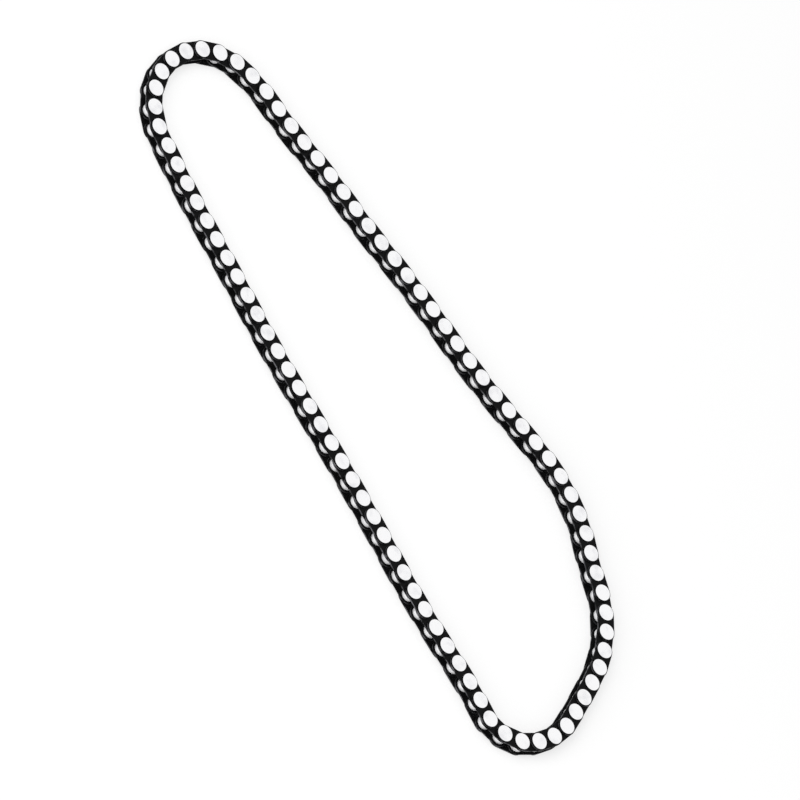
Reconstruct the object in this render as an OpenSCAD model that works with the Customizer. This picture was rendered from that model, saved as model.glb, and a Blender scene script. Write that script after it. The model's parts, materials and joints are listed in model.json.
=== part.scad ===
// Endless roller chain: 84 links joined in a closed loop, lying flat on its side.
// Units are millimetres. Every pin runs along Z, the loop's length runs along X,
// and the loop rests on the plane Z = 0 with the middle of its outline over the origin.

/* [Chain] */
// Distance from the centre of one pin to the next
pitch = 8; // [7.9:0.05:9.5]

/* [Side plates] */
// Height of every plate, which is also the diameter of its round ends
plate_height = 7.4; // [6.2:0.1:7.7]
// Thickness of the inner and outer plates
plate_thickness = 0.55; // [0.4:0.05:1]
// Gap between the two inner plates, where a sprocket tooth goes
inner_width = 3.1; // [2.4:0.1:4.6]
// Running gap between an inner plate and the outer plate beside it
side_clearance = 0.08; // [0.06:0.01:0.2]

/* [Pins] */
// Diameter of the pin's shank
pin_diameter = 2.3; // [1.8:0.05:2.5]
// Diameter of the bright head on the near side and of the washer on the far side
head_diameter = 6.7; // [4.5:0.1:6.9]
// Thickness of the head and of the washer
head_thickness = 0.3; // [0.25:0.05:0.8]
// Width of the bevel round the rims of the head and the washer
rim_bevel = 0.12; // [0.05:0.01:0.2]
// Diameter of the riveted end that holds the washer on
rivet_diameter = 3; // [2.7:0.1:3.6]
// Height of the riveted end above the washer
rivet_height = 0.15; // [0.08:0.01:0.3]
// Hairline gap at every pressed or riveted joint, so that each piece stays a solid of its own
press_gap = 0.01; // [0.005:0.001:0.015]

/* [Bushes and rollers] */
// Radial running gap between the pin and its bush
pin_clearance = 0.05; // [0.04:0.01:0.1]
// Wall of the bush
bush_wall = 0.55; // [0.4:0.05:0.6]
// Radial running gap between the bush and its roller
roller_clearance = 0.08; // [0.05:0.01:0.12]
// Outside diameter of the roller
roller_diameter = 5.6; // [4.9:0.1:6]
// Gap between each end of the roller and the inner plate
roller_end_gap = 0.07; // [0.05:0.01:0.2]
// Width of the bevel on the edges of the roller
roller_bevel = 0.2; // [0.05:0.01:0.3]

/* [Hidden] */
$fn = 48;
plate_black = [0.08, 0.08, 0.09];
bright_steel = [0.93, 0.93, 0.94];

// How the loop lies: for each stretch, how many pins it has and how many degrees
// the chain turns left at each of them. It starts in the middle of the round end.
bends = [
    [6, 16.5],
    [5, 1],
    [4, -0.4],
    [5, 0.8],
    [9, -0.4],
    [5, 1.2],
    [3, -2.4],
    [3, 23.5],
    [3, 15],
    [3, 1.5],
    [5, 9.2],
    [2, -2.4],
    [5, 6.7],
    [2, 0.8],
    [5, -1.5],
    [5, 1],
    [3, -1.3],
    [3, 1.5],
    [3, -1.8],
    [2, 8],
    [3, 17]
];
// Direction of the first link
first_heading = -92;
// The tight bends, as first and last link: there each link is a node of its own.
// Elsewhere an outer link and the inner link after it share a node.
tight_bends = [[36, 41], [80, 89]];
// The pair of links whose pieces are nodes, counted from the round end
opened_pair = 9;
// How often the loop's closing is refined: the gap is far under a micrometre by the last
closing_rounds = 5;

opened_link = 2 * opened_pair;
drawn_turns = [for (stretch = bends, step = [1 : stretch[0]]) stretch[1]];
link_count = len(drawn_turns);

// Pins of an open chain with these turns, one pitch apart, as [x, y, heading]
function laid_out(turns) = [
    for (i = 0, x = 0, y = 0, h = first_heading;
        i <= link_count;
        x = x + cos(h), y = y + sin(h), i = i + 1, h = h + (i < link_count ? turns[i] : 0))
    [x, y, h]
];
function total(list) = [for (item = list) 1] * list;

// Spreads the least change of bend over all the pins that brings the two ends of the
// chain together, by solving for a turn that grows evenly along X and Y.
function closed_turns(turns, rounds) = rounds == 0 ? turns :
    let (
        path = laid_out(turns),
        end = path[link_count],
        basis = [for (i = [0 : link_count - 1]) [1, path[i].x - end.x, path[i].y - end.y]],
        degrees = 180 / PI,
        missing = [360 - total(turns), end.y * degrees, -end.x * degrees],
        columns = [for (j = [0 : 2]) total([for (b = basis) b[j] * b])],
        size = columns[0] * cross(columns[1], columns[2]),
        slope = [for (j = [0 : 2])
            missing * cross(columns[(j + 1) % 3], columns[(j + 2) % 3]) / size]
    )
    closed_turns([for (i = [0 : link_count - 1]) turns[i] + slope * basis[i]], rounds - 1);

path = laid_out(closed_turns(drawn_turns, closing_rounds));
xs = [for (pin = path) pin.x];
ys = [for (pin = path) pin.y];
middle = [max(xs) + min(xs), max(ys) + min(ys)] / 2;
pins = [for (pin = path) ([pin.x, pin.y] - middle) * pitch];

bush_bore = pin_diameter + 2 * pin_clearance;
bush_diameter = bush_bore + 2 * bush_wall;
roller_bore = bush_diameter + 2 * roller_clearance;
roller_width = inner_width - 2 * roller_end_gap;
// Faces of the plates, measured from the middle plane of the chain
inner_face = inner_width / 2;
inner_back = inner_face + plate_thickness;
outer_face = inner_back + side_clearance;
outer_back = outer_face + plate_thickness;
head_face = outer_back + press_gap;
head_back = head_face + head_thickness;
rivet_face = head_back + press_gap;
middle_height = rivet_face + rivet_height;

function is_apart(k) = k == opened_link || k == opened_link + 1 ||
    len([for (bend = tight_bends, lap = [0, link_count])
        if (k + lap >= bend[0] && k + lap <= bend[1]) k]) > 0;
function is_outer(k) = k % 2 == 0;
function numbered(name, k) = str(name, k < 10 ? "_0" : "_", k);
function link_node(k) = numbered(is_outer(k) ? "outer_link" : "inner_link", k);
function pair_node(k) = numbered("link_pair", k);

single_links = [for (k = [0 : link_count - 1])
    if (is_apart(k) && k != opened_link && k != opened_link + 1) k];
pair_links = [for (k = [0 : 2 : link_count - 1]) if (!is_apart(k)) k];
opened_nodes = [
    "outer_plate_near", "outer_plate_far", "headed_pin_a", "headed_pin_b", "pin_washers",
    "inner_plate_near", "inner_plate_far", "bush_a", "bush_b", "roller_a", "roller_b"
];

// Sets its children on link k: X runs from the link's first pin to its second, and
// Z = 0 is the middle plane of the chain.
module on_link(k) {
    translate([pins[k].x, pins[k].y, middle_height])
        rotate(path[k][2])
            children();
}

// A straight-sided plate with round ends, bored for what is pressed through it
module side_plate(face, shank) {
    color(plate_black)
        translate([0, 0, face])
            difference() {
                union() {
                    translate([0, -plate_height / 2, 0])
                        cube([pitch, plate_height, plate_thickness]);
                    for (x = [0, pitch])
                        translate([x, 0, 0])
                            cylinder(h = plate_thickness, d = plate_height);
                }
                for (x = [0, pitch])
                    translate([x, 0, -plate_thickness])
                        cylinder(h = 3 * plate_thickness, d = shank + 2 * press_gap);
            }
}

module outer_plate_near() side_plate(outer_face, pin_diameter);
module outer_plate_far() side_plate(-outer_back, pin_diameter);
module inner_plate_near() side_plate(inner_face, bush_diameter);
module inner_plate_far() side_plate(-inner_back, bush_diameter);

// A pin turned in one piece with its wide head, and riveted over at the far end
module headed_pin() {
    color(bright_steel)
        rotate_extrude()
            polygon([
                [0, head_back],
                [head_diameter / 2 - rim_bevel, head_back],
                [head_diameter / 2, head_back - rim_bevel],
                [head_diameter / 2, head_face],
                [pin_diameter / 2, head_face],
                [pin_diameter / 2, -rivet_face],
                [rivet_diameter / 2, -rivet_face],
                [pin_diameter / 2, -rivet_face - rivet_height],
                [0, -rivet_face - rivet_height]
            ]);
}

// The washer under the riveted end
module pin_washer() {
    washer_bore = pin_diameter + 2 * press_gap;
    color(bright_steel)
        rotate_extrude()
            polygon([
                [washer_bore / 2, -head_face],
                [head_diameter / 2, -head_face],
                [head_diameter / 2, -head_back + rim_bevel],
                [head_diameter / 2 - rim_bevel, -head_back],
                [washer_bore / 2, -head_back]
            ]);
}

// The bush pressed into the two inner plates, flush with their outer faces
module bush() {
    color(bright_steel)
        rotate_extrude()
            polygon([
                [bush_bore / 2, -inner_back],
                [bush_diameter / 2, -inner_back],
                [bush_diameter / 2, inner_back],
                [bush_bore / 2, inner_back]
            ]);
}

// The roller that turns freely on the bush
module roller() {
    color(bright_steel)
        rotate_extrude()
            polygon([
                [roller_bore / 2, -roller_width / 2],
                [roller_diameter / 2 - roller_bevel, -roller_width / 2],
                [roller_diameter / 2, -roller_width / 2 + roller_bevel],
                [roller_diameter / 2, roller_width / 2 - roller_bevel],
                [roller_diameter / 2 - roller_bevel, roller_width / 2],
                [roller_bore / 2, roller_width / 2]
            ]);
}

// Repeats its children at the two ends of a link
module at_both_pins() {
    for (x = [0, pitch])
        translate([x, 0, 0])
            children();
}

module outer_link(k) {
    on_link(k) {
        outer_plate_near();
        outer_plate_far();
        at_both_pins() {
            headed_pin();
            pin_washer();
        }
    }
}

module inner_link(k) {
    on_link(k) {
        inner_plate_near();
        inner_plate_far();
        at_both_pins() {
            bush();
            roller();
        }
    }
}

module single_link(k) {
    if (is_outer(k))
        outer_link(k);
    else
        inner_link(k);
}

module link_pair(k) {
    outer_link(k);
    inner_link(k + 1);
}

for (k = single_links)
    single_link(k);
for (k = pair_links)
    link_pair(k);
on_link(opened_link) outer_plate_near();
on_link(opened_link) outer_plate_far();
on_link(opened_link) headed_pin();  // headed_pin_a
on_link(opened_link) translate([pitch, 0, 0]) headed_pin();  // headed_pin_b
on_link(opened_link) at_both_pins() pin_washer();  // pin_washers
on_link(opened_link + 1) inner_plate_near();
on_link(opened_link + 1) inner_plate_far();
on_link(opened_link + 1) bush();  // bush_a
on_link(opened_link + 1) translate([pitch, 0, 0]) bush();  // bush_b
on_link(opened_link + 1) roller();  // roller_a
on_link(opened_link + 1) translate([pitch, 0, 0]) roller();  // roller_b
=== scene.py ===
"""An endless roller chain, lying flat on its side as a long closed loop."""
import itertools
import json
import math

import bmesh
import bpy
import numpy as np
from mathutils import Matrix, Vector

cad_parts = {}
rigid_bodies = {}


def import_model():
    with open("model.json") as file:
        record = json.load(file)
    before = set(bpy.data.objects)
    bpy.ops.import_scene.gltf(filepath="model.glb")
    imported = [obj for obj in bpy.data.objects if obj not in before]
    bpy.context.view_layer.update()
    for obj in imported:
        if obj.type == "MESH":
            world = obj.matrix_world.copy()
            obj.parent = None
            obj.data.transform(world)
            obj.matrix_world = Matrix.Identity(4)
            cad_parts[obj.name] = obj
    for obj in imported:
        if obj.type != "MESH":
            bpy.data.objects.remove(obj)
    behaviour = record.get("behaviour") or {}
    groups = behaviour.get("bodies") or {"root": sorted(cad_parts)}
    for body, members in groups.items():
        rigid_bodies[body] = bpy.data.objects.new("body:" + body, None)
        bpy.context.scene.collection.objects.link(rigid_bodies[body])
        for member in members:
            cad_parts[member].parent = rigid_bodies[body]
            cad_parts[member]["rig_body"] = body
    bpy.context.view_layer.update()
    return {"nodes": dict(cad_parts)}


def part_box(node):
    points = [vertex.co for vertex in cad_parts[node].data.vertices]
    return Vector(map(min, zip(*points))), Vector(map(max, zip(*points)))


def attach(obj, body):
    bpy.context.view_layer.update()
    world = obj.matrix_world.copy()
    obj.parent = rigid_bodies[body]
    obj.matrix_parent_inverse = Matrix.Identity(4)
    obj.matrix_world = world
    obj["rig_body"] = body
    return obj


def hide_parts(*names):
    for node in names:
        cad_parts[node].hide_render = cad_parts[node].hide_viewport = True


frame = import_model()

# View of the chain
# The loop is seen from above at a slant, rolled so that its length runs from the upper
# left of the picture to the lower right, and from so far away that the view is parallel.
mm = 0.001
elevation = math.radians(48.5)
roll = math.radians(57.8)
seen_width = 302.05 * mm
aim_right = 3.91 * mm
aim_up = -7.32 * mm
lens = 1200
sensor = 36
nearest_seen = 0.1

level_right = Vector((1, 0, 0))
level_up = Vector((0, math.sin(elevation), math.cos(elevation)))
backward = Vector((0, -math.cos(elevation), math.sin(elevation)))
picture_right = level_right * math.cos(roll) + level_up * math.sin(roll)
picture_up = level_up * math.cos(roll) - level_right * math.sin(roll)
top_of_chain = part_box("headed_pin_a")[1].z
aim = Vector((0, 0, top_of_chain)) + picture_right * aim_right + picture_up * aim_up
distance = seen_width * lens / sensor
farthest_seen = 5 * distance


def in_scene(name, data):
    """A new object of this data, at the scene's origin."""
    made = bpy.data.objects.new(name, data)
    bpy.context.scene.collection.objects.link(made)
    return made


camera_data = bpy.data.cameras.new("camera")
camera_data.lens = lens
camera_data.sensor_width = sensor
camera_data.clip_start = nearest_seen
camera_data.clip_end = farthest_seen
camera = in_scene("camera", camera_data)
turned_to_view = Matrix((picture_right, picture_up, backward)).transposed().to_4x4()
camera.matrix_world = Matrix.Translation(aim + backward * distance) @ turned_to_view
bpy.context.scene.camera = camera

# Places of the links
# The loop is riveted all round from outer and inner links by turns. The pins' centres are
# found from the flat tops of their heads, and an inner link spans each gap between outers.
hair = 0.001 * mm
outer_nodes = {}
inner_nodes = {}
for name in frame["nodes"]:
    kind, _, number = name.rpartition("_")
    if kind in ("outer_link", "link_pair"):
        outer_nodes[int(number)] = [name]
    if kind == "link_pair":
        inner_nodes[int(number) + 1] = [name]
    if kind == "inner_link":
        inner_nodes[int(number)] = [name]
opened_link = next(k for k in itertools.count(0, 2) if k not in outer_nodes)
outer_nodes[opened_link] = ["outer_plate_near", "outer_plate_far", "headed_pin_a",
                            "headed_pin_b", "pin_washers"]
inner_nodes[opened_link + 1] = ["inner_plate_near", "inner_plate_far", "bush_a", "bush_b"]
link_count = len(outer_nodes) + len(inner_nodes)


def head_centres(node_names):
    """Centres of the two pin heads of an outer link, which stand higher than anything else."""
    decimals = 8
    corners = [tuple(v.co) for name in node_names for v in frame["nodes"][name].data.vertices]
    corners = np.array(corners)
    flat_tops = corners[corners[:, 2] > top_of_chain - hair][:, :2]
    flat_tops = np.unique(np.round(flat_tops, decimals), axis=0)
    from_middle = flat_tops - flat_tops.mean(0)
    farthest = from_middle[np.argmax(np.linalg.norm(from_middle, axis=1))]
    ahead = from_middle @ farthest > 0
    return flat_tops[ahead].mean(0), flat_tops[~ahead].mean(0)


pins = {}
heads = {k: head_centres(nodes) for k, nodes in outer_nodes.items()}
for k, two_heads in heads.items():
    next_middle = sum(heads[(k + 2) % link_count]) / 2
    second, first = sorted(two_heads, key=lambda head: np.linalg.norm(head - next_middle))
    pins[k] = Vector((*first, 0))
    pins[k + 1] = Vector((*second, 0))


def along_link(k):
    """Direction of link k, as a turn about the vertical."""
    ahead = pins[(k + 1) % link_count] - pins[k]
    return Matrix.Rotation(math.atan2(ahead.y, ahead.x), 4, "Z")


def at_middle(k):
    """Place of a piece that is centred on link k."""
    middle = (pins[k] + pins[(k + 1) % link_count]) / 2
    return Matrix.Translation(middle) @ along_link(k)


def at_pins(template, k):
    """The template at each of the two pins of link k."""
    ends = [Matrix.Translation(pins[j % link_count]) for j in (k, k + 1)]
    return [(template, end @ along_link(k)) for end in ends]


# Bushes
# A bush is the bearing that a pin turns in: a short tube of case-hardened steel, ground
# inside and out. Two are pressed through a pair of inner plates, flush with their backs.
bush_bore = 2.4 * mm
bush_steps = 24
bush_rim = 0.05 * mm
ground_rough = (0.18, 0.34)
ground_depth = 0.002 * mm
polished = (0.93, 0.93, 0.94, 1)
dulled = (0.82, 0.82, 0.84, 1)


def turned(profile, steps, closed):
    """A lathe-turned piece: the profile of (radius, height) points taken round the axis."""
    touching = hair / 10
    bm = bmesh.new()
    points = [bm.verts.new((radius, 0, height)) for radius, height in profile]
    for a, b in zip(points, points[1:] + points[:1] if closed else points[1:]):
        bm.edges.new((a, b))
    bmesh.ops.spin(bm, geom=bm.verts[:] + bm.edges[:], cent=(0, 0, 0), axis=(0, 0, 1),
                   dvec=(0, 0, 0), angle=2 * math.pi, space=Matrix.Identity(4), steps=steps,
                   use_merge=True, use_normal_flip=False, use_duplicate=False)
    bmesh.ops.remove_doubles(bm, verts=bm.verts, dist=touching)
    bmesh.ops.recalc_face_normals(bm, faces=bm.faces)
    return bm


def round_edges(bm, width, segments, wanted=lambda edge: True):
    """Rounds the sharp edges of a solid that are wanted."""
    sharp = math.radians(35)
    edges = [e for e in bm.edges if e.calc_face_angle(0) > sharp and wanted(e)]
    bmesh.ops.bevel(bm, geom=edges, offset=width, offset_type="OFFSET", affect="EDGES",
                    segments=segments, profile=0.5, material=-1, clamp_overlap=True)


def as_mesh(bm, name):
    """The shape as a mesh; lets go of the bmesh."""
    mesh = bpy.data.meshes.new(name)
    bm.to_mesh(mesh)
    bm.free()
    return mesh


def as_template(bm, finish_of=lambda face: 0):
    """Finishes a shape as the mesh that is set into the links."""
    nearly_level = 0.999
    for face in bm.faces:
        face.smooth = abs(face.normal.z) < nearly_level
        face.material_index = finish_of(face)
    return as_mesh(bm, "template")


def set_in_place(name, shapes, materials, nodes):
    """Makes one object of (template, place) shapes, which stands for the nodes on their body."""
    bm = bmesh.new()
    for template, place in shapes:
        one = template.copy()
        one.transform(place)
        bm.from_mesh(one)
        bpy.data.meshes.remove(one)
    mesh = as_mesh(bm, name)
    own = [tuple(v.co) for template, _ in shapes for v in template.vertices]
    own_place = mesh.attributes.new("own_place", "FLOAT_VECTOR", "POINT")
    own_place.data.foreach_set("vector", np.array(own, np.float32).ravel())
    for material in materials:
        mesh.materials.append(material)
    piece = in_scene(name, mesh)
    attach(piece, frame["nodes"][nodes[0]]["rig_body"])
    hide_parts(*nodes)


def own_nodes(nodes, kind):
    """Those of an opened link's nodes that hold this kind of piece, or the link's one node."""
    return [node for node in nodes if node.startswith(kind)] or nodes


def wire(tree, *pairs):
    """Joins output sockets to input sockets in a node tree."""
    for output, socket in pairs:
        tree.links.new(output, socket)


def math_node(tree, operation, first, second=None):
    """A Math node on one or two sockets or numbers; gives its output."""
    node = tree.nodes.new("ShaderNodeMath")
    node.operation = operation
    for socket, value in zip(node.inputs, (first, second)):
        if isinstance(value, (int, float)):
            socket.default_value = value
        elif value is not None:
            tree.links.new(value, socket)
    return node.outputs[0]


def noise_node(tree, vector, scale, detail):
    """A Noise Texture on a vector; gives its value."""
    node = tree.nodes.new("ShaderNodeTexNoise")
    node.inputs["Scale"].default_value = scale
    node.inputs["Detail"].default_value = detail
    tree.links.new(vector, node.inputs["Vector"])
    return node.outputs["Fac"]


def carried_over(tree, value, old_span, new_span):
    """A value carried over from one span to another, and held inside it."""
    node = tree.nodes.new("ShaderNodeMapRange")
    for socket, limit in zip(("From Min", "From Max", "To Min", "To Max"), (*old_span, *new_span)):
        node.inputs[socket].default_value = limit
    tree.links.new(value, node.inputs["Value"])
    return node.outputs["Result"]


def two_colours(tree, factor, first, second):
    """A colour that runs from the first to the second with the factor."""
    node = tree.nodes.new("ShaderNodeMix")
    node.data_type = "RGBA"
    node.inputs["A"].default_value = first
    node.inputs["B"].default_value = second
    tree.links.new(factor, node.inputs["Factor"])
    return node.outputs["Result"]


def rough_skin(tree, shader, coarse, fine, rough_span, height, strength, depth):
    """Lets two noises set the roughness, and a height the bump, of a metal skin."""
    span_of_both = (0, 2)
    both = math_node(tree, "ADD", coarse, fine)
    bump = tree.nodes.new("ShaderNodeBump")
    bump.inputs["Strength"].default_value = strength
    bump.inputs["Distance"].default_value = depth
    wire(tree, (carried_over(tree, both, span_of_both, rough_span), shader.inputs["Roughness"]),
         (height, bump.inputs["Height"]), (bump.outputs["Normal"], shader.inputs["Normal"]))


def new_group(name, inputs, outputs):
    """An empty shader group with float sockets; gives its tree, input node and output node."""
    tree = bpy.data.node_groups.new(name, "ShaderNodeTree")
    for socket, value in inputs.items():
        made = tree.interface.new_socket(name=socket, in_out="INPUT", socket_type="NodeSocketFloat")
        made.default_value = value
    for socket in outputs:
        tree.interface.new_socket(name=socket, in_out="OUTPUT", socket_type="NodeSocketFloat")
    return tree, tree.nodes.new("NodeGroupInput"), tree.nodes.new("NodeGroupOutput")


def split_own_place(tree):
    """A point's place on its own piece, split into X, Y and Z."""
    own = tree.nodes.new("ShaderNodeAttribute")
    own.attribute_name = "own_place"
    split = tree.nodes.new("ShaderNodeSeparateXYZ")
    tree.links.new(own.outputs["Vector"], split.inputs[0])
    return split.outputs


def far_out(tree, across, up):
    """Length of the two together, as the distance from an axis."""
    squares = math_node(tree, "POWER", across, 2), math_node(tree, "POWER", up, 2)
    return math_node(tree, "SQRT", math_node(tree, "ADD", *squares))


# Rings left by the tool: noise that changes along the radius and the height alone, so it
# runs round the piece, and beside it a soft haze of handling over the whole chain.
rings_per_metre = 5200
haze_per_metre = 260
ring_detail = 2
haze_detail = 3
turning_marks, _, marks_out = new_group("turning_marks", {}, ["Marks", "Haze"])
turned_place = split_own_place(turning_marks)
from_axis = far_out(turning_marks, turned_place["X"], turned_place["Y"])
ring_place = turning_marks.nodes.new("ShaderNodeCombineXYZ")
chain_place = turning_marks.nodes.new("ShaderNodeTexCoord").outputs["Object"]
wire(turning_marks, (from_axis, ring_place.inputs["X"]), (turned_place["Z"], ring_place.inputs["Y"]))
rings = noise_node(turning_marks, ring_place.outputs[0], rings_per_metre, ring_detail)
haze = noise_node(turning_marks, chain_place, haze_per_metre, haze_detail)
wire(turning_marks, (rings, marks_out.inputs["Marks"]), (haze, marks_out.inputs["Haze"]))


def new_material(name):
    """A material with nodes; gives it, its tree and its shader."""
    material = bpy.data.materials.new(name)
    material.use_nodes = True
    return material, material.node_tree, material.node_tree.nodes["Principled BSDF"]


def bright_steel(name, metal, rough_span, mark_depth):
    """Bright steel with tool marks round its axis and a faint haze of handling."""
    hazy_span = (0.3, 0.5)
    mark_strength = 0.5
    material, tree, shader = new_material(name)
    shader.inputs["Metallic"].default_value = metal
    group = tree.nodes.new("ShaderNodeGroup")
    group.node_tree = turning_marks
    marks, handled = group.outputs["Marks"], group.outputs["Haze"]
    clean = carried_over(tree, handled, hazy_span, (0, 1))
    wire(tree, (two_colours(tree, clean, dulled, polished), shader.inputs["Base Color"]))
    rough_skin(tree, shader, marks, handled, rough_span, marks, mark_strength, mark_depth)
    return material


bush_low, bush_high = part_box("bush_a")
bush_radius = (bush_high.x - bush_low.x) / 2
bush_shape = turned([(bush_bore / 2, bush_low.z), (bush_radius, bush_low.z),
                     (bush_radius, bush_high.z), (bush_bore / 2, bush_high.z)],
                    bush_steps, closed=True)
round_edges(bush_shape, bush_rim, segments=1)
bush = as_template(bush_shape)
ground_steel = bright_steel("ground_steel", 1, ground_rough, ground_depth)

for k, nodes in inner_nodes.items():
    set_in_place(f"bushes_{k:02d}", at_pins(bush, k), [ground_steel],
                 own_nodes(nodes, "bush"))

# Rollers
# A roller is a wide ring of hardened steel that turns freely on its bush between the two
# inner plates. Its edges are rounded, and its barrel is blasted and has a pale satin coat.
roller_bore = 3.66 * mm
roller_steps = 32
roller_rim = 0.18 * mm
satin_metal = 0.15
satin_rough = (0.40, 0.56)
satin_depth = 0.003 * mm
roller_low, roller_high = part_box("roller_a")
roller_radius = (roller_high.x - roller_low.x) / 2
roller_shape = turned([(roller_bore / 2, roller_low.z), (roller_radius, roller_low.z),
                       (roller_radius, roller_high.z), (roller_bore / 2, roller_high.z)],
                      roller_steps, closed=True)


def farther_out(radius):
    """Picks the edges of a turned piece that lie past a radius."""
    return lambda edge: edge.verts[0].co.xy.length > radius


round_edges(roller_shape, roller_rim, segments=2,
            wanted=farther_out(roller_bore / 2 + roller_rim))
roller = as_template(roller_shape)
satin_steel = bright_steel("satin_steel", satin_metal, satin_rough, satin_depth)

for k, nodes in inner_nodes.items():
    if k != opened_link + 1:
        set_in_place(f"rollers_{k:02d}", at_pins(roller, k), [satin_steel], nodes)
for side, shape in zip("ab", at_pins(roller, opened_link + 1)):
    set_in_place(f"roller_{opened_link + 1}_{side}", [shape], [satin_steel],
                 [f"roller_{side}"])

# Inner side plates
# Both plates of an inner link are blanked from strip with straight sides and round ends,
# tumbled, and blackened in an oxide bath. They are bored to be pressed on to two bushes.
plate_height = 7.4 * mm
plate_steps = 24
plate_rim = 0.09 * mm
press_gap = 0.01 * mm
oxide_rough = (0.32, 0.52)
oxide_black = (0.004, 0.004, 0.0043, 1)
bared_steel = (0.14, 0.14, 0.15, 1)
dull_oxide = 0.05
pitch = (pins[1] - pins[0]).length
inner_low, inner_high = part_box("inner_plate_near")
plate_thickness = inner_high.z - inner_low.z


def side_plate(bore, low):
    """A plate centred on its link, with a bore at each pin and a blanked, tumbled rim."""
    bm = bmesh.new()
    rim = bmesh.ops.create_circle(bm, cap_ends=False, radius=plate_height / 2, segments=plate_steps)
    bmesh.ops.create_circle(bm, cap_ends=False, radius=bore / 2, segments=plate_steps)
    # The half of the rim towards the link's middle is squared off, and the other stays round.
    for vert in rim["verts"]:
        squared = max(abs(vert.co.x), abs(vert.co.y))
        if vert.co.x < -hair:
            vert.co.x *= pitch / 2 / squared
            vert.co.y *= plate_height / 2 / squared
    bmesh.ops.bridge_loops(bm, edges=bm.edges[:])
    bmesh.ops.translate(bm, verts=bm.verts, vec=(pitch / 2, 0, 0))
    bmesh.ops.mirror(bm, geom=bm.verts[:] + bm.edges[:] + bm.faces[:], matrix=Matrix.Identity(4),
                     merge_dist=hair, axis="X")
    bmesh.ops.recalc_face_normals(bm, faces=bm.faces)
    bmesh.ops.solidify(bm, geom=bm.faces[:], thickness=plate_thickness)
    bmesh.ops.recalc_face_normals(bm, faces=bm.faces)
    lowest = min(v.co.z for v in bm.verts)
    bmesh.ops.translate(bm, verts=bm.verts, vec=(0, 0, low - lowest))
    nearly_out = 0.49 * plate_height

    def on_outline(edge):
        past_pin = [max(abs(v.co.x) - pitch / 2, 0) for v in edge.verts]
        return all(math.hypot(x, v.co.y) > nearly_out for x, v in zip(past_pin, edge.verts))

    round_edges(bm, plate_rim, segments=2, wanted=on_outline)
    return as_template(bm)


def near_and_far(plate, far_below, k):
    """The plate on the near and on the far side of link k."""
    return [(plate, at_middle(k)), (plate, at_middle(k) @ far_below)]


def is_pair(nodes):
    """Whether an outer link and the inner link after it share these nodes and move as one."""
    return nodes[0].startswith("link_pair")


# How near a plate's rim is, as a share from 1 on it to 0 inside, worn in patches.
patches_per_metre = 420
patch_detail = 4
patch_span = (0.42, 0.68)
worn_width = 1.5 * plate_rim
wear_sizes = {"Half pitch": pitch / 2, "Half height": plate_height / 2, "Width": worn_width}
rim_wear, wear_in, wear_out = new_group("rim_wear", wear_sizes, ["Worn"])
plate_place = split_own_place(rim_wear)
from_middle = math_node(rim_wear, "ABSOLUTE", plate_place["X"])
past_pin = math_node(rim_wear, "SUBTRACT", from_middle, wear_in.outputs["Half pitch"])
from_spine = far_out(rim_wear, math_node(rim_wear, "MAXIMUM", past_pin, 0), plate_place["Y"])
inside_rim = math_node(rim_wear, "SUBTRACT", wear_in.outputs["Half height"], from_spine)
share_in = math_node(rim_wear, "DIVIDE", inside_rim, wear_in.outputs["Width"])
nearness = math_node(rim_wear, "MAXIMUM", math_node(rim_wear, "SUBTRACT", 1, share_in), 0)
wear_place = rim_wear.nodes.new("ShaderNodeTexCoord").outputs["Object"]
patches = noise_node(rim_wear, wear_place, patches_per_metre, patch_detail)
patches = carried_over(rim_wear, patches, patch_span, (0, 1))
wire(rim_wear, (math_node(rim_wear, "MULTIPLY", nearness, patches), wear_out.inputs["Worn"]))


def blackened_steel(name, rough_span):
    """Oxide black, with a fine tumbled grain, patches of oil and bared steel at the rim."""
    oil_per_metre = 180
    grain_per_metre = 5200
    detail = 3
    grain_strength = 0.4
    grain_depth = 0.006 * mm
    material, tree, shader = new_material(name)
    shader.inputs["Specular IOR Level"].default_value = dull_oxide
    place = tree.nodes.new("ShaderNodeTexCoord").outputs["Object"]
    oil = noise_node(tree, place, oil_per_metre, detail)
    grain = noise_node(tree, place, grain_per_metre, detail)
    wear = tree.nodes.new("ShaderNodeGroup")
    wear.node_tree = rim_wear
    worn = wear.outputs["Worn"]
    wire(tree, (two_colours(tree, worn, oxide_black, bared_steel), shader.inputs["Base Color"]),
         (worn, shader.inputs["Metallic"]))
    rough_skin(tree, shader, oil, grain, rough_span, grain, grain_strength, grain_depth)
    return material


inner_plate = side_plate(2 * bush_radius + 2 * press_gap, inner_low.z)
inner_far_below = Matrix.Translation((0, 0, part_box("inner_plate_far")[0].z - inner_low.z))
oxide_steel = blackened_steel("oxide_steel", oxide_rough)

for k, nodes in inner_nodes.items():
    if not is_pair(nodes):
        set_in_place(f"inner_plates_{k:02d}", near_and_far(inner_plate, inner_far_below, k),
                     [oxide_steel], own_nodes(nodes, "inner"))

# Outer side plates
# They have the outline of the inner plates, blanked from the same strip and blackened
# alike, with smaller bores that are pressed on to the pins outside the inner plates. Where
# two links move as one, their four plates are one object.
pin_diameter = 2.3 * mm
outer_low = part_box("outer_plate_near")[0]
outer_plate = side_plate(pin_diameter + 2 * press_gap, outer_low.z)
outer_far_below = Matrix.Translation((0, 0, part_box("outer_plate_far")[0].z - outer_low.z))

for k, nodes in outer_nodes.items():
    name = f"outer_plates_{k:02d}"
    plates = near_and_far(outer_plate, outer_far_below, k)
    if is_pair(nodes):
        name = f"pair_plates_{k:02d}"
        plates += near_and_far(inner_plate, inner_far_below, k + 1)
    set_in_place(name, plates, [oxide_steel], own_nodes(nodes, "outer"))

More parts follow.
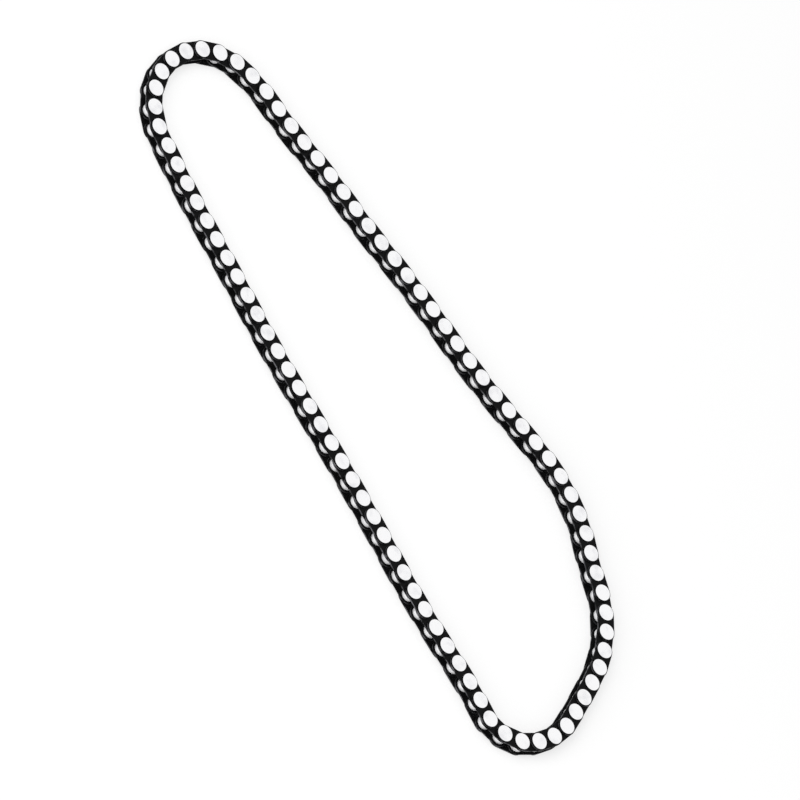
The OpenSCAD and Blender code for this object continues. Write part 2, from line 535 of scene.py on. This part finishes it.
# Headed pins
# Each hinge pin is turned in one with a wide flat head, whose rim is blackened and whose
# face is polished bright. The pin is pressed through the outer plates and riveted over a
# washer at the far end.
head_rim = 0.12 * mm
rivet_diameter = 3 * mm
pin_steps = 32
faced_rough = (0.20, 0.36)
faced_depth = 0.004 * mm
head_low, head_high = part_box("headed_pin_a")
head_radius = (head_high.x - head_low.x) / 2
washer_low, washer_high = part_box("pin_washers")
head_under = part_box("outer_plate_near")[1].z + press_gap
rivet_top = washer_low.z - press_gap
pin_shape = turned([(0, head_high.z), (head_radius, head_high.z), (head_radius, head_under),
                    (pin_diameter / 2, head_under), (pin_diameter / 2, rivet_top),
                    (rivet_diameter / 2, rivet_top), (pin_diameter / 2, head_low.z),
                    (0, head_low.z)], pin_steps, closed=False)


def round_the_face(edge):
    """Picks the outer edge of the head's flat face."""
    outside = farther_out(head_radius - head_rim)(edge)
    return outside and all(v.co.z > head_high.z - hair for v in edge.verts)


round_edges(pin_shape, head_rim, segments=2, wanted=round_the_face)


def black_past(radius):
    """Picks the black finish for faces wholly past a radius, and the bright one elsewhere."""
    return lambda face: int(all(v.co.xy.length > radius for v in face.verts))


headed_pin = as_template(pin_shape, black_past(head_radius - head_rim - hair))
faced_steel = bright_steel("faced_steel", 1, faced_rough, faced_depth)

for k, nodes in outer_nodes.items():
    set_in_place(f"headed_pins_{k:02d}", at_pins(headed_pin, k), [faced_steel, oxide_steel],
                 own_nodes(nodes, "headed"))

# Pin washers
# A washer as wide as the head lies under each riveted end on the far side. It is stamped
# from steel strip and rounded, with a blackened rim and a polished face like the head's.
washer_bore = pin_diameter + 2 * press_gap
washer_rim = 0.1 * mm
washer_shape = turned([(washer_bore / 2, washer_low.z), (head_radius, washer_low.z),
                       (head_radius, washer_high.z), (washer_bore / 2, washer_high.z)],
                      pin_steps, closed=True)
round_edges(washer_shape, washer_rim, segments=2, wanted=farther_out(head_radius - washer_rim))
washer = as_template(washer_shape, black_past(head_radius - washer_rim - hair))

for k, nodes in outer_nodes.items():
    set_in_place(f"pin_washers_{k:02d}", at_pins(washer, k), [faced_steel, oxide_steel],
                 own_nodes(nodes, "pin_washers"))

# Floor
# A plain white sheet under the chain. The camera and polished metal see it glow to white
# of itself, with the chain's soft shadow on it, and it lights the chain as plain paper.
floor_size = 4
floor_rough = 0.9
below_chain = -0.01 * mm
paper = (0.8, 0.8, 0.8, 1)
paper_seen = (0.4, 0.4, 0.4, 1)
no_glow = (0, 0, 0, 1)
glow_seen = (0.66, 0.66, 0.66, 1)
floor_shape = bmesh.new()
bmesh.ops.create_grid(floor_shape, x_segments=1, y_segments=1, size=floor_size / 2)
bmesh.ops.translate(floor_shape, verts=floor_shape.verts, vec=(0, 0, below_chain))
floor = in_scene("floor", as_mesh(floor_shape, "floor"))
white_sheet, sheet_tree, sheet_shader = new_material("white_sheet")
sheet_shader.inputs["Roughness"].default_value = floor_rough
sheet_shader.inputs["Specular IOR Level"].default_value = 0
sheet_shader.inputs["Emission Strength"].default_value = 1


def seen(tree):
    """Is 1 for what is seen straight, in metal or through glass, and 0 for light on the chain."""
    rays = tree.nodes.new("ShaderNodeLightPath").outputs
    mirrored = math_node(tree, "MAXIMUM", rays["Is Glossy Ray"], rays["Is Transmission Ray"])
    return math_node(tree, "MAXIMUM", rays["Is Camera Ray"], mirrored)


sheet_seen = seen(sheet_tree)
wire(sheet_tree,
     (two_colours(sheet_tree, sheet_seen, paper, paper_seen), sheet_shader.inputs["Base Color"]),
     (two_colours(sheet_tree, sheet_seen, no_glow, glow_seen), sheet_shader.inputs["Emission Color"]))
floor.data.materials.append(white_sheet)

# Studio light
# A soft lamp hangs over the chain's left side, a wider one stands low before it and shines in
# between the plates, and an even white room fills the shadows. The room is pure white to the
# camera and in the polished steel.
room_light = 0.5
room_white = (1, 1, 1, 1)


def soft_lamp(name, size, power, place):
    """A round soft lamp that faces the middle of the chain."""
    data = bpy.data.lights.new(name, "AREA")
    data.shape = "DISK"
    data.size = size
    data.energy = power
    turn = place.to_track_quat("Z", "Y").to_matrix().to_4x4()
    in_scene(name, data).matrix_world = Matrix.Translation(place) @ turn


soft_lamp("high_lamp", size=0.9, power=3.5, place=Vector((-0.55, -0.35, 1.15)))
soft_lamp("low_lamp", size=1.5, power=15, place=Vector((-0.33, -1.3, 0.8)))

room = bpy.data.worlds.new("white_room")
room.use_nodes = True
room_tree = room.node_tree
room_shader = room_tree.nodes["Background"]
room_shader.inputs["Color"].default_value = room_white
room_strength = carried_over(room_tree, seen(room_tree), (0, 1), (room_light, 1))
wire(room_tree, (room_strength, room_shader.inputs["Strength"]))
bpy.context.scene.world = room
bpy.context.scene.view_settings.view_transform = "Standard"
